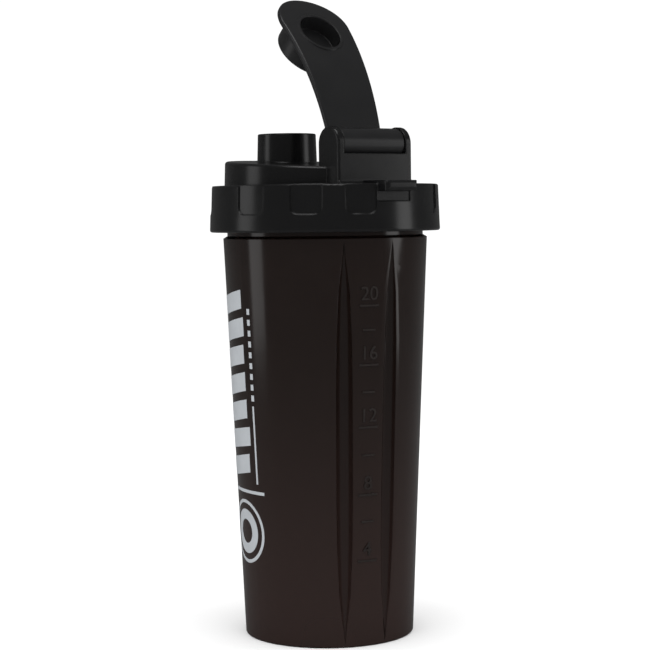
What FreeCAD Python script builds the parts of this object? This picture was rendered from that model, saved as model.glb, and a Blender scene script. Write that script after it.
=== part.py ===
"""Protein shaker bottle with a screw lid and a flip cap, as a parametric document.

Millimetres. The origin is on the cup's axis at the plane it stands on, +Z is up,
the spout is towards -Y and the cap's hinge is towards +Y.
"""
import FreeCAD, Part
import math
import os
import re

import Sketcher

doc = FreeCAD.newDocument("shaker")

SIZES = {
    # cup
    "base_radius": 35.2, "shoulder_radius": 42.4, "shoulder_height": 165.3,
    "cup_wall": 1.9, "cup_floor": 2.6, "foot_depth": 5.4, "foot_rim": 4.2, "foot_round": 0.8,
    "neck_step": 1.7, "neck_wall": 2.2, "shoulder_slope": 1.0,
    # flutes either side of the graduation panel
    "flute_end_gap": 1.2, "flute_depth": 3.4, "flute_half_angle": 14.7, "panel_angle": 11.2,
    # screw thread
    "thread_pitch": 4.5, "thread_depth": 1.2, "thread_root": 1.8, "thread_crest": 1.0,
    "thread_turns": 1.75, "thread_clear": 0.4,
    # lid ring
    "ring_gap": 2.6, "ring_height": 19.1, "ring_radius": 47.9, "ring_draft": 0.7,
    "ring_round": 0.9, "plate": 2.2, "skirt_wall": 1.5, "skirt_depth": 8.0, "skirt_clear": 0.5,
    # grip pockets round the ring
    "pocket_angle": 15.4, "pocket_depth": 0.8, "pocket_floor": 7.2, "pocket_round": 3.2,
    # gasket under the lid
    "gasket_height": 2.0, "gasket_width": 2.9, "gasket_clear": 0.1,
    # deck and spout
    "deck_radius": 38.0, "deck_offset": 6.0, "deck_rise": 8.7, "deck_slope": 3.55,
    "deck_wall": 2.2, "room_offset": 2.0, "room_ledge": 1.2, "deck_round": 1.3,
    "spout_offset": 27.0, "spout_radius": 12.4, "spout_draft": 0.7, "spout_wall": 1.5,
    "spout_round": 0.5,
    # hinge
    "hinge_offset": 28.2, "hinge_rise": 16.1, "ear_radius": 6.9, "ear_width": 3.0,
    "ear_clear": 0.3, "ear_round": 0.8, "barrel_radius": 6.4, "barrel_half": 15.2,
    "pin_radius": 2.6, "pin_length": 1.9, "pin_clear": 0.15, "web_rise": 8.0, "web_toe": 1.6,
    "lip_wall": 1.4, "lip_clear": 4.0,
    # carry tongue behind the hinge
    "tongue_half": 7.8, "tongue_reach": 4.6, "tongue_height": 4.2, "tongue_over": 1.2,
    "tongue_hole": 1.6, "tongue_round": 1.6, "notch_height": 4.0, "notch_depth": 1.0,
    # flip cap
    "cap_rise": 25.0, "strap_arc": 111.8, "strap_height": 2.3, "strap_end": 16.6,
    "end_beyond": 4.6, "strap_root": 12.8, "strap_round": 0.6,
    "cap_open": 48.7, "apron_depth": 10.1, "apron_wall": 1.2,
    "plug_height": 6.5, "plug_clear": 0.5, "plug_draft": 0.5, "plug_wall": 1.2,
    # seal under the cap
    "seal_height": 1.2, "seal_gap": 0.1, "seat_height": 1.5, "seat_clear": 0.7,
    # mixing grid under the lid
    "grid_height": 1.8, "grid_pitch": 7.4, "grid_bar": 1.5, "grid_collar": 5.0,
    "grid_clear": 0.15, "grid_rim": 3.0,
}

sheet = doc.addObject("Spreadsheet::Sheet", "Sizes")
for row, (alias, size) in enumerate(SIZES.items(), start=1):
    sheet.set(f"A{row}", alias)
    sheet.set(f"B{row}", str(size))
    sheet.setAlias(f"B{row}", alias)
doc.recompute()

# Places that follow from the sizes, as expressions in the sheet's names.
RING_BOTTOM = "(shoulder_height + ring_gap)"
RING_TOP = f"({RING_BOTTOM} + ring_height)"
RING_TOP_RADIUS = "(ring_radius - ring_draft)"
UNDERSIDE = f"({RING_TOP} - plate)"
NECK_RADIUS = "(shoulder_radius - neck_step)"
NECK_BORE = f"({NECK_RADIUS} - neck_wall)"
LIP = f"({UNDERSIDE} - gasket_height - 2 * gasket_clear)"
LID_BORE = f"({NECK_RADIUS} + thread_depth + thread_clear)"
SKIRT_RADIUS = f"({NECK_BORE} - skirt_clear)"
SKIRT_BORE = f"({SKIRT_RADIUS} - skirt_wall)"
DECK_TOP = f"({RING_TOP} + deck_rise)"
HINGE_HEIGHT = f"({RING_TOP} + hinge_rise)"
CAP_TOP = f"({RING_TOP} + cap_rise)"
SEAT = f"({CAP_TOP} - seat_height)"
SPOUT_TOP = f"({SEAT} - seal_height - seal_gap)"
SPOUT_BORE = "(spout_radius - spout_wall)"
PLUG_RADIUS = f"({SPOUT_BORE} - plug_clear)"
EAR_INNER = "(barrel_half + ear_clear)"
EAR_OUTER = f"({EAR_INNER} + ear_width)"

# Angles of the grip pockets, anticlockwise from the hinge as seen from above.
POCKET_ANGLES = [-122.0, -74.8, -45.0, -18.2, 29.5, 56.3, 86.1, 133.0, 159.0, 185.0, 211.0]
SIDES = (("left", -1), ("right", 1))


def on_circle(edge):
    """True for a whole level circle."""
    return len(edge.Vertexes) == 1 and edge.BoundBox.ZLength < 0.01


def deck_level():
    """Height of the ring's top, for picking edges above it."""
    return SIZES["shoulder_height"] + SIZES["ring_gap"] + SIZES["ring_height"]


def named(expression):
    """Point every sheet name in an expression at the sheet."""
    return re.sub(r"\b(?:[a-z]+_[a-z_]+|plate)\b", lambda name: "Sizes." + name.group(), expression)


def bind(thing, **sizes):
    """Bind properties to expressions; x, y, z and turn stand for the placement."""
    paths = {"x": "Placement.Base.x", "y": "Placement.Base.y", "z": "Placement.Base.z",
             "turn": "Placement.Rotation.Angle"}
    for key, expression in sizes.items():
        thing.setExpression(paths.get(key, key), named(expression))
    return thing


def make(kind, name, axis=None, **sizes):
    """Add a Part object, give its rotation an axis and bind its sizes."""
    thing = doc.addObject("Part::" + kind, name)
    if axis:
        turn = 0 if "turn" in sizes else 90
        thing.Placement.Rotation = FreeCAD.Rotation(FreeCAD.Vector(*axis), turn)
    return bind(thing, **sizes)


def fuse(name, *things):
    joined = doc.addObject("Part::MultiFuse", name)
    joined.Shapes = list(things)
    joined.Refine = False
    return joined


def common(name, *things):
    shared = doc.addObject("Part::MultiCommon", name)
    shared.Shapes = list(things)
    return shared


def cut(name, base, *tools):
    """Cut one tool, or several joined tools, from a base."""
    rest = doc.addObject("Part::Cut", name)
    rest.Base = base
    rest.Tool = tools[0] if len(tools) == 1 else fuse(name + "_tools", *tools)
    return rest


def round_edges(name, base, size, wanted):
    """Fillet the edges that a test picks, with the radius bound to one size."""
    doc.recompute()
    edges = [number for number, edge in enumerate(base.Shape.Edges, start=1) if wanted(edge)]
    if not edges:
        raise RuntimeError(f"{name} found no edges")
    fillet = doc.addObject("Part::Fillet", name)
    fillet.Base = base
    radius = SIZES[size]
    fillet.Edges = [(number, radius, radius) for number in edges]
    return fillet


def thread(name, root, depth, bottom, phase):
    """One start of trapezoidal ridge; a negative depth points it inwards."""
    path = make("Helix", name + "_path", Pitch="thread_pitch",
                Height="thread_pitch * thread_turns", Radius=root, z=bottom)
    path.Placement.Rotation = FreeCAD.Rotation(FreeCAD.Vector(0, 0, 1), phase)
    section = doc.addObject("Sketcher::SketchObject", name + "_section")
    section.Placement.Rotation = FreeCAD.Rotation(FreeCAD.Vector(1, 0, 0), 90)
    overlap = f"0.3 * {depth} / abs({depth})"
    corners = [(f"{root} - {overlap}", "-thread_root / 2"),
               (f"{root} + {depth}", "-thread_crest / 2"),
               (f"{root} + {depth}", "thread_crest / 2"),
               (f"{root} - {overlap}", "thread_root / 2")]
    rough = [(40, -1), (41, -0.5), (41, 0.5), (40, 1)]
    for number, (start, end) in enumerate(zip(rough, rough[1:] + rough[:1])):
        section.addGeometry(Part.LineSegment(FreeCAD.Vector(*start, 0), FreeCAD.Vector(*end, 0)))
        if number:
            section.addConstraint(Sketcher.Constraint("Coincident", number - 1, 2, number, 1))
    section.addConstraint(Sketcher.Constraint("Coincident", 3, 2, 0, 1))
    for number, (across, up) in enumerate(corners):
        for kind, place, start in (("DistanceX", across, rough[number][0]),
                                   ("DistanceY", up, rough[number][1])):
            index = section.addConstraint(Sketcher.Constraint(kind, -1, 1, number, 1, start))
            section.setExpression(f"Constraints[{index}]", named(place))
    bind(section, z=bottom)
    section.setExpression("Placement.Rotation.Yaw", f"{phase}")
    sweep = doc.addObject("Part::Sweep", name)
    sweep.Sections = [section]
    sweep.Spine = (path, ["Edge1"])
    sweep.Solid = True
    sweep.Frenet = True
    return sweep


def flute(name, side, extra):
    """Long spindle along the cup's tapered wall; extra thickens it all round."""
    half = f"(shoulder_height / 2 - flute_end_gap + {extra})"
    reach = f"(flute_depth + {extra})"
    steps = 4
    cones = []
    for way in (1, -1):
        for step in range(steps):
            wide, narrow = (1 - (number / steps) ** 4 for number in (step, step + 1))
            cones.append(make("Cone", f"{name}_{len(cones)}", Radius1=f"{reach} * {wide}",
                              Radius2=f"{reach} * {narrow}", Height=f"{half} / {steps}",
                              z=f"{way} * {half} * {step} / {steps}"))
            cones[-1].Placement.Rotation = FreeCAD.Rotation(FreeCAD.Vector(1, 0, 0),
                                                            90 - 90 * way)
    spindle = fuse(name, *cones)
    azimuth = f"(90 - panel_angle + {side} * flute_half_angle)"
    lean = "atan((shoulder_radius - base_radius) / shoulder_height)"
    middle = "(base_radius + shoulder_radius) / 2"
    spindle.setExpression("Placement.Rotation.Yaw", named(azimuth))
    spindle.setExpression("Placement.Rotation.Pitch", named(lean))
    return bind(spindle, x=f"{middle} * cos({azimuth})", y=f"{middle} * sin({azimuth})",
                z="shoulder_height / 2")


def make_cup():
    """Blow-moulded cup: tapered wall, two flutes, hollow foot, threaded neck."""
    taper = "(shoulder_radius - base_radius) / shoulder_height"
    floor_top = "(foot_depth + cup_floor)"
    shell = make("Cone", "cup_shell", Radius1="base_radius", Radius2="shoulder_radius",
                 Height="shoulder_height")
    shell = round_edges("cup_shell_rounded", shell, "foot_round",
                        lambda edge: on_circle(edge) and edge.BoundBox.ZMax < 0.01)
    inside = make("Cone", "cup_inside", Radius1=f"base_radius + {taper} * {floor_top} - cup_wall",
                  Radius2="shoulder_radius - cup_wall", Height=f"shoulder_height - {floor_top}",
                  z=floor_top)
    slope = make("Cone", "cup_slope", Radius1="shoulder_radius", Radius2=NECK_RADIUS,
                 Height="shoulder_slope", z="shoulder_height")
    neck = make("Cylinder", "cup_neck", Radius=NECK_RADIUS, Height=f"{LIP} - shoulder_height",
                z="shoulder_height")
    throat = make("Cone", "cup_throat", Radius1="shoulder_radius - cup_wall", Radius2=NECK_BORE,
                  Height="shoulder_slope + neck_wall", z="shoulder_height")
    mouth = make("Cylinder", "cup_mouth", Radius=NECK_BORE,
                 Height=f"{LIP} - shoulder_height", z="shoulder_height + 1")
    foot = make("Cone", "cup_foot", Radius1="base_radius - foot_rim",
                Radius2="base_radius - foot_rim - foot_depth / 4", Height="foot_depth")
    ridge = thread("neck_thread", NECK_RADIUS, "thread_depth", f"{RING_BOTTOM} + thread_pitch", 0)
    ribs = [common(f"cup_rib_{side}", shell, flute(f"rib_{side}", way, "cup_wall"))
            for side, way in SIDES]
    body = cut("cup_hollow", fuse("cup_outside", shell, slope, neck), inside, throat, mouth)
    grooves = [flute(f"groove_{side}", way, "0") for side, way in SIDES]
    return cut("cup", fuse("cup_walls", body, ridge, *ribs), foot, *grooves)


def make_pockets():
    """Grip pockets: rounded panels sunk into the ring, open at its top edge."""
    band = cut("pocket_band",
               make("Cylinder", "pocket_band_outer", Radius="2 * ring_radius",
                    Height="ring_height", z=f"{RING_BOTTOM} + pocket_floor"),
               make("Cone", "pocket_band_inner", Radius1="ring_radius - pocket_depth",
                    Radius2="ring_radius - pocket_depth - ring_draft", Height="ring_height",
                    z=f"{RING_BOTTOM} + pocket_floor"))
    width = "(2 * ring_radius * sin(pocket_angle / 2))"
    pockets = []
    for number, angle in enumerate(POCKET_ANGLES):
        panel = doc.addObject("Part::Box", f"pocket_panel_{number}")
        bind(panel, Length="2 * ring_radius", Width=width, Height="2 * ring_height")
        panel = round_edges(f"pocket_round_{number}", panel, "pocket_round",
                            lambda edge: edge.BoundBox.ZMax < 0.01 and edge.BoundBox.XLength > 1)
        panel.Placement.Rotation = FreeCAD.Rotation(FreeCAD.Vector(0, 0, 1), angle + 90)
        turned = f"({angle} + 90)"
        bind(panel, x=f"{width} / 2 * sin({turned})", y=f"-{width} / 2 * cos({turned})",
             z=f"{RING_BOTTOM} + pocket_floor")
        pockets.append(panel)
    return common("pockets", fuse("pocket_panels", *pockets), band)


def sloped_disc(name, radius):
    """Thick disc whose top is the sloping deck plane."""
    thick = "(2 * deck_rise)"
    top = f"({DECK_TOP} + deck_offset * tan(deck_slope))"
    return make("Cylinder", name, axis=(1, 0, 0), turn="-deck_slope", Radius=radius,
                Height=thick, y=f"-deck_offset - {thick} * sin(deck_slope)",
                z=f"{top} - {thick} * cos(deck_slope)")


def make_ear(side, way):
    """Hinge ear: round top, flat sides, standing on the ring."""
    edge = EAR_INNER if way > 0 else f"-{EAR_OUTER}"
    knob = make("Cylinder", f"ear_knob_{side}", axis=(0, 1, 0), Radius="ear_radius",
                Height="ear_width", x=edge, y="hinge_offset", z=HINGE_HEIGHT)
    post = make("Box", f"ear_post_{side}", Length="ear_width", Width="2 * ear_radius",
                Height=f"{HINGE_HEIGHT} - {UNDERSIDE}", x=edge, y="hinge_offset - ear_radius",
                z=UNDERSIDE)
    outer = SIZES["barrel_half"] + SIZES["ear_clear"] + SIZES["ear_width"]
    return round_edges(f"ear_{side}", fuse(f"ear_joined_{side}", knob, post), "ear_round",
                       lambda item: min(abs(item.BoundBox.XMin - way * outer),
                                        abs(item.BoundBox.XMax - way * outer)) < 0.01
                       and item.BoundBox.XLength < 0.01
                       and item.BoundBox.ZMax > item.BoundBox.ZMin + 1)


def make_lid():
    """Injection-moulded screw lid: grip ring, deck, spout, hinge ears and carry tongue."""
    ring = make("Cone", "ring_body", Radius1="ring_radius", Radius2=RING_TOP_RADIUS,
                Height="ring_height", z=RING_BOTTOM)
    ring = round_edges("ring_rounded", ring, "ring_round", on_circle)
    deck = round_edges("deck_rounded", sloped_disc("deck_body", "deck_radius"), "deck_round",
                       lambda edge: edge.BoundBox.ZMax > deck_level() and len(edge.Vertexes) == 1)
    spout = make("Cone", "spout_body", Radius1="spout_radius + spout_draft",
                 Radius2="spout_radius", Height=f"{SPOUT_TOP} - {RING_TOP}",
                 y="-spout_offset", z=RING_TOP)
    spout = round_edges("spout_rounded", spout, "spout_round",
                        lambda edge: on_circle(edge) and edge.BoundBox.ZMin > deck_level() + 1)
    web = make("Box", "web", Length=f"2 * {EAR_INNER}", Width="2 * ear_radius",
               Height="web_rise + plate", x=f"-{EAR_INNER}", y="hinge_offset - ear_radius",
               z=UNDERSIDE)
    lip = make("Box", "web_lip", Length=f"2 * {EAR_INNER}", Width="lip_wall",
               Height=f"{HINGE_HEIGHT} - lip_clear - {RING_TOP}", x=f"-{EAR_INNER}",
               y="hinge_offset + ear_radius - lip_wall", z=RING_TOP)
    toe = make("Box", "toe_block", Length=f"2 * {EAR_OUTER}", Width="web_toe", Height="web_toe",
               x=f"-{EAR_OUTER}", y="hinge_offset + ear_radius", z=RING_TOP)
    scoop = make("Cylinder", "toe_scoop", axis=(0, 1, 0), Radius="web_toe",
                 Height=f"2 * {EAR_OUTER}", x=f"-{EAR_OUTER}",
                 y="hinge_offset + ear_radius + web_toe", z=f"{RING_TOP} + web_toe")
    toe = cut("web_toe", toe, scoop)
    tongue = make("Box", "tongue_body", Length="2 * tongue_half",
                  Width="ring_radius + tongue_reach - hinge_offset - ear_radius - web_toe",
                  Height="tongue_height", x="-tongue_half",
                  y="hinge_offset + ear_radius + web_toe",
                  z=f"{RING_TOP} + tongue_over - tongue_height")
    tongue = round_edges("tongue_rounded", tongue, "tongue_round",
                         lambda edge: edge.BoundBox.YMin > SIZES["ring_radius"])
    notch = make("Box", "tongue_notch", Length="2 * tongue_half + 1", Width="3 * notch_depth",
                 Height="notch_height", x="-tongue_half - 0.5",
                 y=f"{RING_TOP_RADIUS} - notch_depth",
                 z=f"{RING_TOP} + tongue_over - tongue_height - notch_height")
    hole = make("Cylinder", "tongue_hole", Radius="tongue_hole", Height="2 * tongue_height",
                y="ring_radius + tongue_reach / 2 - tongue_hole / 4",
                z=f"{RING_TOP} + tongue_over - 1.5 * tongue_height")
    ears = [make_ear(side, way) for side, way in SIDES]
    skirt = cut("skirt", *[make("Cylinder", name, Radius=radius, Height="skirt_depth + plate / 4",
                                z=f"{UNDERSIDE} - skirt_depth")
                           for name, radius in (("skirt_body", SKIRT_RADIUS),
                                                ("skirt_bore", SKIRT_BORE))])
    bore = make("Cylinder", "ring_bore", Radius=LID_BORE, Height="ring_height - plate",
                z=RING_BOTTOM)
    room = make("Cylinder", "deck_room", Radius=f"{SKIRT_BORE} - room_offset - room_ledge",
                y="-room_offset", z=UNDERSIDE,
                Height=f"{DECK_TOP} - deck_radius * tan(deck_slope) - deck_wall - {UNDERSIDE}")
    outlet = make("Cylinder", "spout_bore", Radius=SPOUT_BORE, y="-spout_offset",
                  Height=f"{SPOUT_TOP} - {RING_TOP}", z=f"{RING_TOP} + deck_wall")
    sockets = make("Cylinder", "pin_sockets", axis=(0, 1, 0), Radius="pin_radius + pin_clear",
                   Height="2 * (barrel_half + pin_length + 2 * pin_clear)",
                   x="-(barrel_half + pin_length + 2 * pin_clear)", y="hinge_offset",
                   z=HINGE_HEIGHT)
    ridge = thread("lid_thread", LID_BORE, "-thread_depth", f"{RING_BOTTOM} + thread_pitch", 180)
    outside = fuse("lid_outside", ring, deck, spout, web, lip, toe, tongue, *ears)
    hollow = cut("lid_hollow", outside, bore, room, outlet, sockets, hole, notch, make_pockets())
    return fuse("lid", fuse("lid_skirted", hollow, skirt), ridge)


def make_gasket():
    """Flat silicone ring between the cup's lip and the lid."""
    outer = make("Cylinder", "gasket_outer", Radius=f"{SKIRT_RADIUS} + gasket_clear + gasket_width",
                 Height="gasket_height", z=f"{LIP} + gasket_clear")
    inner = make("Cylinder", "gasket_inner", Radius=f"{SKIRT_RADIUS} + gasket_clear",
                 Height="gasket_height", z=f"{LIP} + gasket_clear")
    return cut("lid_gasket", outer, inner)


def make_grid():
    """Mixing grid: a collar inside the lid's skirt, a rim below it and a square lattice."""
    bottom = f"({UNDERSIDE} - skirt_depth - grid_clear - grid_height)"
    collar_radius = f"({SKIRT_BORE} - grid_clear)"
    plate_disc = make("Cylinder", "grid_plate", Radius=SKIRT_RADIUS, Height="grid_height", z=bottom)
    collar = make("Cylinder", "grid_collar_body", Radius=collar_radius,
                  Height="grid_height + grid_collar", z=bottom)
    inner = make("Cylinder", "grid_bore", Radius=f"{collar_radius} - grid_bar",
                 Height="grid_collar", z=f"{bottom} + grid_height")
    holes = []
    reach = math.ceil(SIZES["shoulder_radius"] / SIZES["grid_pitch"])
    for column in range(-reach, reach):
        for row in range(-reach, reach):
            holes.append(make("Box", f"grid_hole_{len(holes)}", Length="grid_pitch - grid_bar",
                              Width="grid_pitch - grid_bar", Height="2 * grid_height",
                              x=f"{column} * grid_pitch + grid_bar / 2",
                              y=f"{row} * grid_pitch + grid_bar / 2",
                              z=f"{bottom} - grid_height / 2"))
    lattice = common("grid_holes", fuse("grid_squares", *holes),
                     make("Cylinder", "grid_field", Radius=f"{collar_radius} - grid_rim",
                          Height="3 * grid_height", z=f"{bottom} - grid_height"))
    return cut("mixing_grid", fuse("grid_body", plate_disc, collar), inner, lattice)


def place_cap(thing):
    """Turn a piece of the flip cap about the hinge from shut to where it stands open."""
    thing.Placement.Rotation = FreeCAD.Rotation(FreeCAD.Vector(1, 0, 0), -1)
    return bind(thing, turn="-cap_open", y="hinge_offset", z=HINGE_HEIGHT)


def make_cap():
    """Flip cap, drawn shut about its own hinge: curved strap, barrel, pins and hollow plug."""
    spout_at = "(hinge_offset + spout_offset)"
    crest = f"({CAP_TOP} - {HINGE_HEIGHT})"
    seat = f"({SEAT} - {HINGE_HEIGHT})"
    arc = dict(axis=(0, 1, 0), Height="4 * strap_end", x="-2 * strap_end", y=f"-{spout_at}",
               z=f"{crest} - strap_arc")
    sheet_arc = cut("strap_arc_sheet", make("Cylinder", "strap_top", Radius="strap_arc", **arc),
                    make("Cylinder", "strap_under", Radius="strap_arc - strap_height", **arc))
    tip = f"({spout_at} + end_beyond)"
    end = make("Cylinder", "strap_end_plan", Radius="strap_end", Height="strap_arc / 2",
               y=f"-{tip}", z="-strap_arc / 4")
    run = make("Wedge", "strap_run_plan", Xmin="-strap_end", Xmax="strap_end", Zmin="-strap_arc / 4",
               Zmax="strap_arc / 4", Ymin=f"-{tip}", Ymax="0", Z2min="-strap_arc / 4",
               Z2max="strap_arc / 4", X2min="-strap_root", X2max="strap_root")
    strap = common("strap", fuse("strap_plan", end, run), sheet_arc)
    strap = round_edges("strap_rounded", strap, "strap_round",
                        lambda edge: edge.Length > 20 and edge.BoundBox.YMax < 5)
    barrel = make("Cylinder", "cap_barrel", axis=(0, 1, 0), Radius="barrel_radius",
                  Height="2 * barrel_half", x="-barrel_half")
    pins = make("Cylinder", "cap_pins", axis=(0, 1, 0), Radius="pin_radius",
                Height="2 * (barrel_half + pin_length)", x="-(barrel_half + pin_length)")
    plug = make("Cone", "plug_body", Radius1=f"{PLUG_RADIUS} - plug_draft", Radius2=PLUG_RADIUS,
                Height=f"plug_height + {crest} - {seat}", y=f"-{spout_at}",
                z=f"{seat} - plug_height")
    plug = round_edges("plug_rounded", plug, "strap_round",
                       lambda edge: on_circle(edge) and edge.BoundBox.ZMax < 5)
    apron = make("Cylinder", "apron_body", Radius="spout_radius + seat_clear + apron_wall",
                 Height="apron_depth", y=f"-{spout_at}", z=f"{seat} - apron_depth")
    apron = round_edges("apron_rounded", apron, "strap_round",
                        lambda edge: on_circle(edge) and edge.BoundBox.ZMax < 5)
    seat_cut = make("Cylinder", "cap_seat", Radius="spout_radius + seat_clear",
                    Height="strap_arc / 4", y=f"-{spout_at}", z=f"{seat} - strap_arc / 4")
    well = make("Cylinder", "cap_well", Radius=f"{PLUG_RADIUS} - plug_wall",
                Height="strap_arc", y=f"-{spout_at}", z=f"{seat} - plug_height + plug_wall")
    shaped = cut("strap_seated", fuse("strap_aproned", strap, apron), seat_cut)
    body = fuse("cap_body", shaped, barrel, pins, plug)
    return place_cap(cut("flip_cap", body, well))


def make_seal():
    """Silicone washer round the plug, which closes on the spout's lip."""
    across = "(hinge_offset + spout_offset)"
    level = f"({SEAT} - {HINGE_HEIGHT} - seal_height)"
    outer = make("Cylinder", "seal_outer", Radius="spout_radius + seat_clear - seal_gap",
                 Height="seal_height", y=f"-{across}", z=level)
    inner = make("Cylinder", "seal_inner", Radius=PLUG_RADIUS, Height="seal_height",
                 y=f"-{across}", z=level)
    return place_cap(cut("cap_seal", outer, inner))


pieces = [make_cup(), make_lid(), make_gasket(), make_grid(), make_cap(), make_seal()]
for piece, label in zip(pieces, ("cup", "lid", "lid_gasket", "mixing_grid", "flip_cap", "cap_seal")):
    piece.Label = label
doc.recompute()

for item in doc.Objects:
    if "Invalid" in item.State or "Error" in item.State:
        raise RuntimeError(f"{item.Name} failed: {item.State}")
os.makedirs("parts", exist_ok=True)
for piece in pieces:
    if piece.Shape.isNull() or not piece.Shape.isValid():
        raise RuntimeError(f"{piece.Label} has no valid shape")
    piece.Shape.exportStep(f"parts/{piece.Label}.step")
    box = piece.Shape.BoundBox
    print(f"{piece.Label}: {piece.Shape.Volume / 1000:.1f} cm3, {len(piece.Shape.Solids)} solid, "
          f"{box.XLength:.1f} x {box.YLength:.1f} x {box.ZLength:.1f} mm")
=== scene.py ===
import math

import bmesh
import bpy
from mathutils import Matrix, Vector


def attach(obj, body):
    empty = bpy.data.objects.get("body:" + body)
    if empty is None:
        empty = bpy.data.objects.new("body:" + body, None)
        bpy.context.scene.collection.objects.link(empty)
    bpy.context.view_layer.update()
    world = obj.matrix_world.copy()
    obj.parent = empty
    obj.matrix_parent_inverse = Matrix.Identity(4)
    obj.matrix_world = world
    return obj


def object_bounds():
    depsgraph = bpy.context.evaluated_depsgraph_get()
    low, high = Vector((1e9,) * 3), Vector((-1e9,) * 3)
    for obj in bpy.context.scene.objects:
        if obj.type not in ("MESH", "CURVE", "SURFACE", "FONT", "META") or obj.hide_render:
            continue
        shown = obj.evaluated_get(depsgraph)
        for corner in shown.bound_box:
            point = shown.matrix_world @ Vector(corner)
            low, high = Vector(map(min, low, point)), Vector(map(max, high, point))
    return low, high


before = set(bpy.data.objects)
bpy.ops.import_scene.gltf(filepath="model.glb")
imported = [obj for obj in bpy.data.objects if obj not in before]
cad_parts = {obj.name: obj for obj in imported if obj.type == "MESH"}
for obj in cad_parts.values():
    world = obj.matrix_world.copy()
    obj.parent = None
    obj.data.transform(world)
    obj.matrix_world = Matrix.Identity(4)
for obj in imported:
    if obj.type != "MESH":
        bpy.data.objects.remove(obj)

cad_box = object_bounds()

# Cup: one moulded body in smoke-black plastic, glossy outside. Its colour is painted a little
# paler towards the foot, as painted light showing through the plastic. Faint ripples from the
# mould run through the gloss.
FOOT_RADIUS = 0.0352
SHOULDER_RADIUS = 0.0424
SHOULDER_HEIGHT = 0.1653
# Painted light near the foot: below this height the colour fades towards a paler smoke.
GLOW_PAINTED_UP_TO = 0.13
SMOKE_DEEP = (0.0075, 0.0042, 0.0034)
SMOKE_MIDDLE = (0.0095, 0.0056, 0.0045)
# Paler smoke painted at the foot, standing in for light showing through the plastic.
SMOKE_PAINTED_GLOW = (0.0205, 0.0118, 0.0102)


def moulded_surface():
    """Group: gloss variation, a soft tint mask and a rippled normal with eased edges."""
    group = bpy.data.node_groups.new("moulded_surface", "ShaderNodeTree")
    for socket, value in (("Ripple Size", 60.0), ("Ripple Height", 0.05), ("Edge Radius", 0.0005),
                          ("Gloss", 0.15), ("Gloss Spread", 0.05)):
        item = group.interface.new_socket(socket, in_out="INPUT", socket_type="NodeSocketFloat")
        item.default_value = value
    group.interface.new_socket("Roughness", in_out="OUTPUT", socket_type="NodeSocketFloat")
    group.interface.new_socket("Tint", in_out="OUTPUT", socket_type="NodeSocketFloat")
    group.interface.new_socket("Normal", in_out="OUTPUT", socket_type="NodeSocketVector")
    nodes, links = group.nodes, group.links
    start = nodes.new("NodeGroupInput")
    end = nodes.new("NodeGroupOutput")
    place = nodes.new("ShaderNodeTexCoord")
    ripple = nodes.new("ShaderNodeTexNoise")
    ripple.inputs["Detail"].default_value = 2.0
    grime = nodes.new("ShaderNodeTexNoise")
    grime.inputs["Scale"].default_value = 90.0
    grime.inputs["Detail"].default_value = 4.0
    spread = nodes.new("ShaderNodeMath")
    spread.operation = "MULTIPLY_ADD"
    eased = nodes.new("ShaderNodeBevel")
    eased.samples = 4
    bump = nodes.new("ShaderNodeBump")
    bump.inputs["Distance"].default_value = 0.001
    links.new(place.outputs["Object"], ripple.inputs["Vector"])
    links.new(place.outputs["Object"], grime.inputs["Vector"])
    links.new(start.outputs["Ripple Size"], ripple.inputs["Scale"])
    links.new(grime.outputs["Fac"], spread.inputs[0])
    links.new(start.outputs["Gloss Spread"], spread.inputs[1])
    links.new(start.outputs["Gloss"], spread.inputs[2])
    links.new(start.outputs["Edge Radius"], eased.inputs["Radius"])
    links.new(start.outputs["Ripple Height"], bump.inputs["Strength"])
    links.new(ripple.outputs["Fac"], bump.inputs["Height"])
    links.new(eased.outputs["Normal"], bump.inputs["Normal"])
    links.new(spread.outputs["Value"], end.inputs["Roughness"])
    links.new(grime.outputs["Fac"], end.inputs["Tint"])
    links.new(bump.outputs["Normal"], end.inputs["Normal"])
    return group


SURFACE = moulded_surface()


def mottled(name, deep, pale, gloss, spread, ripple, edge):
    """Material drifting between two tones; edge is how far its corners look eased."""
    material = bpy.data.materials.new(name)
    material.use_nodes = True
    nodes, links = material.node_tree.nodes, material.node_tree.links
    shader = nodes["Principled BSDF"]
    surface = nodes.new("ShaderNodeGroup")
    surface.node_tree = SURFACE
    surface.inputs["Gloss"].default_value = gloss
    surface.inputs["Gloss Spread"].default_value = spread
    surface.inputs["Ripple Height"].default_value = ripple
    surface.inputs["Edge Radius"].default_value = edge
    drift = nodes.new("ShaderNodeMix")
    drift.data_type = "RGBA"
    drift.inputs["A"].default_value = (*deep, 1)
    drift.inputs["B"].default_value = (*pale, 1)
    links.new(surface.outputs["Tint"], drift.inputs["Factor"])
    links.new(drift.outputs["Result"], shader.inputs["Base Color"])
    links.new(surface.outputs["Roughness"], shader.inputs["Roughness"])
    links.new(surface.outputs["Normal"], shader.inputs["Normal"])
    return material


def paint(node, material):
    """Give a CAD node its material."""
    slots = bpy.data.objects[node].data.materials
    slots.clear()
    slots.append(material)


smoke = mottled("smoke_plastic", SMOKE_DEEP, SMOKE_MIDDLE, gloss=0.12, spread=0.05, ripple=0.05,
                edge=0.0005)
nodes, links = smoke.node_tree.nodes, smoke.node_tree.links
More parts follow.
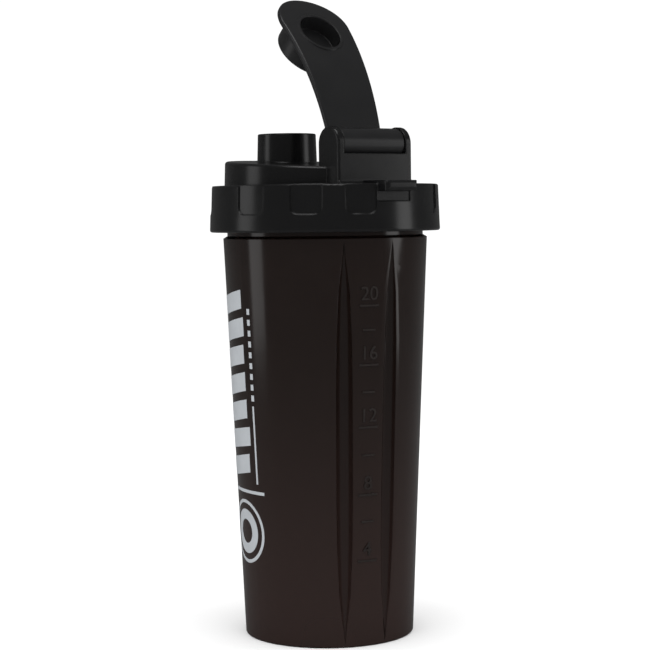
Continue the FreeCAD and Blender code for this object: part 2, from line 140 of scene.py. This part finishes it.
# Painted light: the base colour turns paler towards the foot, standing in for light that shows
# through the smoke plastic.
height_at = nodes.new("ShaderNodeSeparateXYZ")
place = nodes.new("ShaderNodeTexCoord")
painted_glow_fade = nodes.new("ShaderNodeMapRange")
painted_glow_fade.inputs["From Min"].default_value = GLOW_PAINTED_UP_TO
painted_glow_fade.inputs["From Max"].default_value = 0.0
painted_glow_fade.interpolation_type = "SMOOTHSTEP"
painted_glow_mix = nodes.new("ShaderNodeMix")
painted_glow_mix.data_type = "RGBA"
painted_glow_mix.inputs["B"].default_value = (*SMOKE_PAINTED_GLOW, 1)
links.new(place.outputs["Object"], height_at.inputs["Vector"])
links.new(height_at.outputs["Z"], painted_glow_fade.inputs["Value"])
links.new(painted_glow_fade.outputs["Result"], painted_glow_mix.inputs["Factor"])
links.new(nodes["Mix"].outputs["Result"], painted_glow_mix.inputs["A"])
links.new(painted_glow_mix.outputs["Result"], nodes["Principled BSDF"].inputs["Base Color"])
paint("cup", smoke)

# Graduations: numerals and short lines moulded proud of the panel between the flutes,
# in the cup's own plastic, coloured lighter than the cup as painted light caught by the
# raised figures. The scale reads upwards in fluid ounces.
PANEL_AZIMUTH = math.radians(78.8)
RELIEF = 0.0003
FIGURE_TALL = 0.0055
FIGURE_SHARE = 0.7
LINE_DROP = 0.0022
LINE_SIZE = (0.0085, 0.0008)
HALF_LINE_SIZE = (0.0055, 0.0007)
# Tones lighter than the cup's smoke: painted light caught by the raised figures, not a different
# plastic.
RELIEF_LIT_DEEP = (0.013, 0.0095, 0.0085)
RELIEF_LIT_PALE = (0.019, 0.0145, 0.013)
MARKS = ((20, 0.1408), (16, 0.117), (12, 0.0919), (8, 0.0645), (4, 0.0375))
HALF_MARKS = (0.1289, 0.1039, 0.0784, 0.0514)


def mesh_of(thing):
    """Evaluated mesh of a curve, text or modified object, which is then removed."""
    bpy.context.view_layer.update()
    solid = thing.evaluated_get(bpy.context.evaluated_depsgraph_get())
    mesh = bpy.data.meshes.new_from_object(solid)
    bpy.data.objects.remove(thing)
    return mesh


def numeral(text, tall, thick):
    """Mesh of a number; its figures fill only a share of the lettering size."""
    curve = bpy.data.curves.new("numeral", "FONT")
    curve.body = text
    curve.size = tall / FIGURE_SHARE
    curve.align_x = "CENTER"
    curve.extrude = thick / 2
    holder = bpy.data.objects.new("numeral", curve)
    bpy.context.collection.objects.link(holder)
    return mesh_of(holder)


def joined(meshes):
    """One bmesh from (mesh, across, up) entries."""
    shape = bmesh.new()
    for mesh, across, up in meshes:
        mesh.transform(Matrix.Translation((across, up, 0)))
        shape.from_mesh(mesh)
        bpy.data.meshes.remove(mesh)
    return shape


def wrap_on_cup(name, shape, azimuth, proud, material):
    """Bend a flat shape (x across, y up, z out) round the cup's tapered wall."""
    step = 0.0015
    reach = max(abs(vertex.co.x) for vertex in shape.verts)
    for number in range(-int(reach / step), int(reach / step) + 1):
        bmesh.ops.bisect_plane(shape, geom=shape.verts[:] + shape.edges[:] + shape.faces[:],
                               plane_co=(number * step, 0, 0), plane_no=(1, 0, 0))
    for vertex in shape.verts:
        across, up, out = vertex.co
        radius = FOOT_RADIUS + (SHOULDER_RADIUS - FOOT_RADIUS) * up / SHOULDER_HEIGHT
        turn = azimuth + across / radius
        reach_out = radius + out + proud
        vertex.co = (reach_out * math.cos(turn), reach_out * math.sin(turn), up)
    bmesh.ops.remove_doubles(shape, verts=shape.verts, dist=1e-6)
    bmesh.ops.recalc_face_normals(shape, faces=shape.faces)
    mesh = bpy.data.meshes.new(name)
    shape.to_mesh(mesh)
    shape.free()
    mesh.materials.append(material)
    piece = bpy.data.objects.new(name, mesh)
    bpy.context.collection.objects.link(piece)
    return piece


def line_tree():
    """Geometry Nodes: equal bars at the points of the mesh they are given."""
    tree = bpy.data.node_groups.new("graduation_lines", "GeometryNodeTree")
    tree.interface.new_socket("Geometry", in_out="INPUT", socket_type="NodeSocketGeometry")
    for socket in ("Width", "Height", "Thickness"):
        tree.interface.new_socket(socket, in_out="INPUT", socket_type="NodeSocketFloat")
    tree.interface.new_socket("Material", in_out="INPUT", socket_type="NodeSocketMaterial")
    tree.interface.new_socket("Geometry", in_out="OUTPUT", socket_type="NodeSocketGeometry")
    nodes, links = tree.nodes, tree.links
    start, end = nodes.new("NodeGroupInput"), nodes.new("NodeGroupOutput")
    size = nodes.new("ShaderNodeCombineXYZ")
    bar = nodes.new("GeometryNodeMeshCube")
    spread = nodes.new("GeometryNodeInstanceOnPoints")
    real = nodes.new("GeometryNodeRealizeInstances")
    finish = nodes.new("GeometryNodeSetMaterial")
    for socket, axis in (("Width", "X"), ("Height", "Y"), ("Thickness", "Z")):
        links.new(start.outputs[socket], size.inputs[axis])
    links.new(size.outputs["Vector"], bar.inputs["Size"])
    links.new(start.outputs["Geometry"], spread.inputs["Points"])
    links.new(bar.outputs["Mesh"], spread.inputs["Instance"])
    links.new(spread.outputs["Instances"], real.inputs["Geometry"])
    links.new(real.outputs["Geometry"], finish.inputs["Geometry"])
    links.new(start.outputs["Material"], finish.inputs["Material"])
    links.new(finish.outputs["Geometry"], end.inputs["Geometry"])
    return tree


LINES = line_tree()


def bars(points, width, tall, thick, material):
    """Mesh of equal bars centred on the points."""
    mesh = bpy.data.meshes.new("bar_points")
    mesh.from_pydata(points, [], [])
    holder = bpy.data.objects.new("bars", mesh)
    bpy.context.collection.objects.link(holder)
    modifier = holder.modifiers.new("bars", "NODES")
    modifier.node_group = LINES
    values = {"Width": width, "Height": tall, "Thickness": thick, "Material": material}
    for item in LINES.interface.items_tree:
        if item.in_out == "INPUT" and item.name in values:
            modifier[item.identifier] = values[item.name]
    return mesh_of(holder)


# The cup's plastic with a lighter colour, as painted light on the raised figures.
relief_painted_lit = mottled("relief_plastic_painted_lit", RELIEF_LIT_DEEP, RELIEF_LIT_PALE, gloss=0.25, spread=0.06, ripple=0.02,
                 edge=0.0002)
figures = [(numeral(str(value), FIGURE_TALL, 2 * RELIEF), 0, up) for value, up in MARKS]
under = [(0, up - LINE_DROP, 0) for _, up in MARKS]
between = [(0, up, 0) for up in HALF_MARKS]
figures.append((bars(under, *LINE_SIZE, 2 * RELIEF, relief_painted_lit), 0, 0))
figures.append((bars(between, *HALF_LINE_SIZE, 2 * RELIEF, relief_painted_lit), 0, 0))
graduations = wrap_on_cup("graduations", joined(figures), PANEL_AZIMUTH, 0, relief_painted_lit)
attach(graduations, "cup")

# Decoration: a silver foil print on the cup's side, beside the panel. A column of slanted
# blocks runs beside a dashed line and a thin rule, over a short bar and two plain rings.
PRINT_AZIMUTH = math.radians(-12.5)
FOIL_THICK = 0.00006
FOIL_PROUD = 0.00005
FOIL_DULL = (0.5, 0.53, 0.56)
FOIL_BRIGHT = (0.62, 0.65, 0.68)
BLOCK_ENDS = ((-0.014, 0.0072), (-0.016, 0.0086), (-0.013, 0.0072), (-0.013, 0.0072),
              (-0.015, 0.0072), (-0.013, 0.008), (-0.0125, 0.0072))
BLOCK_FOOT = 0.0665
BLOCK_PITCH = 0.0112
BLOCK_TALL = 0.0077
BLOCK_SLANT = 0.0035
DASHES = 9
DASH_FOOT = (0.0118, 0.1008)
DASH_PITCH = 0.0044
DASH_SIZE = (0.0017, 0.0024)
RULE = (0.0112, 0.0122, 0.0655, 0.0975)
SHORT_BAR = (-0.012, 0.0155, 0.0612, 0.0625)
RINGS = ((0.0132, 0.0118), (0.0092, 0.005))
RING_CENTRE = (0.001, 0.045)
RING_SIDES = 64


def flat_shape(loops, thick):
    """Mesh of a filled outline; inner loops are holes."""
    curve = bpy.data.curves.new("outline", "CURVE")
    curve.dimensions = "2D"
    curve.fill_mode = "BOTH"
    curve.extrude = thick / 2
    for loop in loops:
        spline = curve.splines.new("POLY")
        spline.points.add(len(loop) - 1)
        for point, (across, up) in zip(spline.points, loop):
            point.co = (across, up, 0, 1)
        spline.use_cyclic_u = True
    holder = bpy.data.objects.new("outline", curve)
    bpy.context.collection.objects.link(holder)
    return mesh_of(holder)


def ring_loop(radius):
    """Points of a circle."""
    turns = [math.tau * number / RING_SIDES for number in range(RING_SIDES)]
    return [(radius * math.cos(turn), radius * math.sin(turn)) for turn in turns]


def oblong(left, right, low, high):
    """Corners of an upright oblong."""
    return [(left, low), (right, low), (right, high), (left, high)]


foil = mottled("silver_foil", FOIL_DULL, FOIL_BRIGHT, gloss=0.32, spread=0.12, ripple=0.05,
               edge=0.00005)
foil.node_tree.nodes["Principled BSDF"].inputs["Metallic"].default_value = 0.35
marks = []
for number, (left, right) in enumerate(BLOCK_ENDS):
    low = BLOCK_FOOT + BLOCK_PITCH * number
    block = [(left, low), (right, low + BLOCK_SLANT), (right, low + BLOCK_SLANT + BLOCK_TALL),
             (left, low + BLOCK_TALL)]
    marks.append((flat_shape([block], FOIL_THICK), 0, 0))
dashes = [(DASH_FOOT[0], DASH_FOOT[1] + DASH_PITCH * number, 0) for number in range(DASHES)]
marks.append((bars(dashes, *DASH_SIZE, FOIL_THICK, foil), 0, 0))
marks.append((flat_shape([oblong(*RULE)], FOIL_THICK), 0, 0))
marks.append((flat_shape([oblong(*SHORT_BAR)], FOIL_THICK), 0, 0))
for outer, inner in RINGS:
    marks.append((flat_shape([ring_loop(outer), ring_loop(inner)], FOIL_THICK), *RING_CENTRE))
decoration = wrap_on_cup("decoration", joined(marks), PRINT_AZIMUTH, FOIL_PROUD, foil)
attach(decoration, "cup")

# Screw lid: one injection moulding in gloss black, with grip pockets round the ring, a
# sloping deck, the spout and the hinge's ears. It screws down onto the cup's neck.
paint("lid", mottled("lid_plastic", deep=(0.004, 0.004, 0.0042), pale=(0.006, 0.006, 0.0062),
                     gloss=0.17, spread=0.08, ripple=0.03, edge=0.0009))

# Gasket: a flat ring moulded in soft black silicone. It is pushed up inside the lid, which
# squeezes it on the cup's lip.
paint("lid_gasket", mottled("gasket_silicone", deep=(0.02, 0.02, 0.021), pale=(0.03, 0.03, 0.031),
                            gloss=0.55, spread=0.15, ripple=0.02, edge=0.0003))

# Mixing grid: a lattice disc moulded in satin black plastic, with a collar that presses
# into the lid's skirt.
paint("mixing_grid", mottled("grid_plastic", deep=(0.012, 0.012, 0.013), pale=(0.018, 0.018, 0.019),
                             gloss=0.35, spread=0.1, ripple=0.03, edge=0.0003))

# Flip cap: a curved strap on a barrel, in the lid's plastic with a finer, more even gloss.
# Its pins turn in the ears, and its plug and apron close on the spout.
paint("flip_cap", mottled("cap_plastic", deep=(0.0085, 0.0085, 0.009), pale=(0.0115, 0.0115, 0.012),
                          gloss=0.26, spread=0.06, ripple=0.01, edge=0.0008))

# Cap seal: a washer moulded in soft black silicone. It sits round the plug and meets the
# spout's lip.
paint("cap_seal", mottled("washer_silicone", deep=(0.02, 0.02, 0.021), pale=(0.03, 0.03, 0.031),
                          gloss=0.55, spread=0.15, ripple=0.02, edge=0.0002))

# The room: a pale seamless floor under an even white sky, both darker in reflections so that
# black plastic stays black. Two tall soft boxes at the sides draw the long highlights, and a
# broad one overhead lights the deck.
FLOOR_RADIUS_IN_HEIGHTS = 12
FLOOR_TONE = (0.96, 0.96, 0.96)
FLOOR_REFLECTED = (0.12, 0.12, 0.12)
SKY_STRENGTH = 1.05
SKY_REFLECTED = 0.1
SIDE_REACH = 0.9
SIDE_FORWARD = 0.1
SIDE_SIZE = (0.3, 0.9)
LEFT_POWER = 0.8
RIGHT_POWER = 1.1
TOP_RISE = 1.1
TOP_FORWARD = 0.3
TOP_SIZE = (0.8, 0.8)
TOP_POWER = 5
whole_height = cad_box[1][2] - cad_box[0][2]
floor_mesh = bpy.data.meshes.new("floor")
shape = bmesh.new()
bmesh.ops.create_circle(shape, cap_ends=True, segments=96,
                         radius=FLOOR_RADIUS_IN_HEIGHTS * whole_height)
shape.to_mesh(floor_mesh)
shape.free()
floor = bpy.data.objects.new("floor", floor_mesh)
bpy.context.collection.objects.link(floor)
paper = bpy.data.materials.new("pale_floor")
paper.use_nodes = True
nodes, links = paper.node_tree.nodes, paper.node_tree.links
ray = nodes.new("ShaderNodeLightPath")
tone = nodes.new("ShaderNodeMix")
tone.data_type = "RGBA"
tone.inputs["A"].default_value = (*FLOOR_TONE, 1)
tone.inputs["B"].default_value = (*FLOOR_REFLECTED, 1)
links.new(ray.outputs["Is Glossy Ray"], tone.inputs["Factor"])
links.new(tone.outputs["Result"], nodes["Principled BSDF"].inputs["Base Color"])
nodes["Principled BSDF"].inputs["Roughness"].default_value = 0.7
nodes["Principled BSDF"].inputs["Specular IOR Level"].default_value = 0.0
floor.data.materials.append(paper)

world = bpy.data.worlds.new("studio_sky")
world.use_nodes = True
nodes, links = world.node_tree.nodes, world.node_tree.links
ray = nodes.new("ShaderNodeLightPath")
level = nodes.new("ShaderNodeMapRange")
level.inputs["To Min"].default_value = SKY_STRENGTH
level.inputs["To Max"].default_value = SKY_REFLECTED
links.new(ray.outputs["Is Glossy Ray"], level.inputs["Value"])
links.new(level.outputs["Result"], nodes["Background"].inputs["Strength"])
nodes["Background"].inputs["Color"].default_value = (1, 1, 1, 1)
bpy.context.scene.world = world
bpy.context.scene.view_settings.view_transform = "Standard"


def soft_box(name, place, aim, width, tall, power):
    """Oblong lamp turned to face a point."""
    lamp = bpy.data.lights.new(name, "AREA")
    lamp.shape = "RECTANGLE"
    lamp.size = width
    lamp.size_y = tall
    lamp.energy = power
    box = bpy.data.objects.new(name, lamp)
    box.location = place
    box.rotation_euler = (aim - place).to_track_quat("-Z", "Y").to_euler()
    bpy.context.collection.objects.link(box)


# The camera stands level with the lid, on the hinge's side of the bottle, and looks down
# a little.
camera_turn = math.radians(54.0)
camera_distance = 0.7625
camera_height = 0.177
sensor_width = 36
focal_length = 101.15
lens = bpy.data.cameras.new("camera")
lens.sensor_width = sensor_width
lens.lens = focal_length
camera = bpy.data.objects.new("camera", lens)
camera.location = (camera_distance * math.cos(camera_turn),
                   camera_distance * math.sin(camera_turn), camera_height)
tilt_down = math.radians(3.627)
pan_left = 0.00062
lean = -0.01189
look = Matrix.Rotation(camera_turn + math.pi / 2 + pan_left, 4, "Z")
look = look @ Matrix.Rotation(math.pi / 2 - tilt_down, 4, "X") @ Matrix.Rotation(lean, 4, "Z")
camera.rotation_euler = look.to_euler()
bpy.context.collection.objects.link(camera)
bpy.context.scene.camera = camera

right_of_view = Vector((-math.sin(camera_turn), math.cos(camera_turn), 0))
towards_view = Vector((math.cos(camera_turn), math.sin(camera_turn), 0))
middle = Vector((0, 0, whole_height / 2))
for name, way, power in (("left_soft_box", -1, LEFT_POWER), ("right_soft_box", 1, RIGHT_POWER)):
    side = middle + way * SIDE_REACH * right_of_view + SIDE_FORWARD * towards_view
    soft_box(name, side, middle, *SIDE_SIZE, power)
above = middle + Vector((0, 0, TOP_RISE)) + TOP_FORWARD * towards_view
soft_box("top_soft_box", above, middle, *TOP_SIZE, TOP_POWER)
